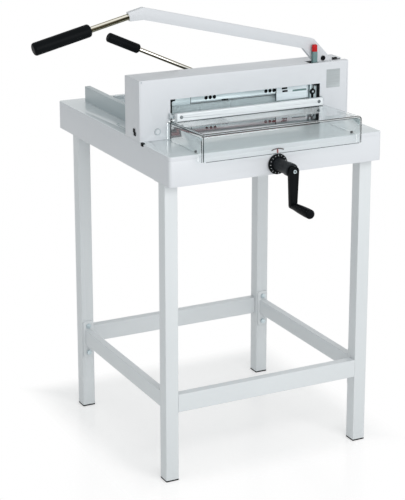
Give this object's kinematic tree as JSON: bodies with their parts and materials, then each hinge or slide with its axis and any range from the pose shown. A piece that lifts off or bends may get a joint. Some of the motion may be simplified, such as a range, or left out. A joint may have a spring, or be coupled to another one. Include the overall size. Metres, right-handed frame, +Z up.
{
  "type": "manual stack paper guillotine",
  "caption": "Hand-lever stack paper guillotine on a four-legged stand, with a clear hinged guard, a cranked back gauge and a lever clamp.",
  "frame": {"origin": "on the floor, below the centre of the table's outline", "axes": "+X to the right, +Y to the back, +Z up; the front with the guard and the crank faces -Y"},
  "size_m": [0.9238, 0.928, 1.2741],
  "materials": {
    "paint": "semi-gloss powder coat, light cool grey",
    "cap_paint": "semi-gloss powder coat, mid grey",
    "black_plastic": "matt moulded, black",
    "zinc_fastener": "zinc plated",
    "black_fastener": "black oxide",
    "red_plastic": "moulded, red",
    "machined_steel": "turned and milled",
    "blade_steel": "ground",
    "carrier_steel": "milled",
    "cast_frame": "machined casting",
    "bronze": "turned bronze",
    "aluminium": "milled, satin",
    "chrome": "bright",
    "clear_acrylic": "clear bent acrylic",
    "white_plastic": "moulded, white",
    "grey_plastic": "moulded, grey",
    "black_rubber": "soft"
  },
  "bodies": {
    "stand": {"leg_front_left": "paint", "leg_front_right": "paint", "leg_rear_left": "paint", "leg_rear_right": "paint", "foot_caps": "black_plastic", "rail_front": "paint", "rail_rear": "paint", "rail_left": "paint", "rail_right": "paint", "rail_bolts": "zinc_fastener", "table_bolts": "zinc_fastener", "table_plate": "paint", "table_apron": "paint", "cutting_stick": "red_plastic", "fence_left": "paint", "fence_right": "paint", "spindle_bearings": "bronze", "front_frame": "cast_frame", "rear_frame": "cast_frame", "frame_feet": "cast_frame", "frame_spacers": "machined_steel", "housing_cover": "paint", "end_cap_left": "cap_paint", "end_cap_right": "cap_paint", "shaft_bushes": "bronze", "clamp_posts": "machined_steel", "opening_liners": "black_rubber", "guard_ears": "grey_plastic", "catch_pivot": "zinc_fastener", "dial_pointer": "red_plastic"},
    "blade_unit": {"blade_carrier": "carrier_steel", "blade": "blade_steel", "blade_screws": "black_fastener", "blade_rack": "machined_steel"},
    "blade_lever": {"lever_shaft": "machined_steel", "lever_pinion": "machined_steel", "lever_arm": "paint", "lever_bolt": "black_fastener", "lever_rod": "chrome", "lever_grip": "black_plastic"},
    "clamp_unit": {"clamp_bar": "aluminium"},
    "clamp_lever": {"clamp_shaft": "machined_steel", "clamp_sector": "machined_steel", "clamp_lever_rod": "chrome", "clamp_lever_grip": "black_plastic"},
    "guard": {"guard_hood": "clear_acrylic", "guard_hinge_bar": "white_plastic", "guard_screws": "zinc_fastener", "guard_bumpers": "black_rubber"},
    "gauge": {"back_gauge": "aluminium", "gauge_nut": "cast_frame"},
    "crank": {"spindle": "machined_steel", "crank_dial": "black_plastic", "crank_hub": "black_plastic", "crank_arm": "black_plastic", "crank_screw": "zinc_fastener"},
    "crank_handle": {"crank_grip": "black_plastic"},
    "catch": {"catch_post": "grey_plastic", "catch_cap": "red_plastic"},
    "button": {"front_button": "grey_plastic"}
  },
  "joints": [
    {"name": "blade_lever_turn", "type": "hinge", "parent": "stand", "child": "blade_lever", "pos_m": [0.27, -0.168, 1.028], "axis": [0, 1, 0], "range_deg": [0, 123.1]},
    {"name": "blade_slide", "type": "slide", "parent": "stand", "child": "blade_unit", "axis": [-0.2588, 0, -0.9659], "range_m": [0, 0.04834]},
    {"name": "clamp_lever_turn", "type": "hinge", "parent": "stand", "child": "clamp_lever", "pos_m": [0, -0.08, 1.025], "axis": [0, -1, 0], "range_deg": [0, 31.8]},
    {"name": "clamp_slide", "type": "slide", "parent": "stand", "child": "clamp_unit", "axis": [0, 0, -1], "range_m": [0, 0.04163]},
    {"name": "guard_swing", "type": "hinge", "parent": "stand", "child": "guard", "pos_m": [0, -0.202, 0.983], "axis": [-1, 0, 0], "range_deg": [0, 95]},
    {"name": "crank_turn", "type": "hinge", "parent": "stand", "child": "crank", "pos_m": [-0.005, -0.43, 0.8675], "axis": [0, 1, 0], "range_deg": [-4680, 9554]},
    {"name": "gauge_slide", "type": "slide", "parent": "stand", "child": "gauge", "axis": [0, 1, 0], "range_m": [-0.26539, 0.13]},
    {"name": "crank_handle_spin", "type": "hinge", "parent": "crank", "child": "crank_handle", "pos_m": [-0.005, -0.51, 0.774], "axis": [0, 1, 0], "continuous": true},
    {"name": "catch_tip", "type": "hinge", "parent": "stand", "child": "catch", "pos_m": [0.217, -0.183, 1.052], "axis": [0, -1, 0], "range_deg": [0, 14], "stiffness_Nm_per_rad": 1.2, "springref_deg": -8.59},
    {"name": "button_press", "type": "slide", "parent": "stand", "child": "button", "axis": [0, 1, 0], "range_m": [0, 0.002], "stiffness_N_per_m": 600, "springref_m": -0.002}
  ],
  "couplings": [
    {"joint": "blade_slide", "follows": "blade_lever_turn", "m_per_rad": 0.0225},
    {"joint": "clamp_slide", "follows": "clamp_lever_turn", "m_per_rad": 0.075},
    {"joint": "gauge_slide", "follows": "crank_turn", "m_per_rad": -0.0015915}
  ]
}
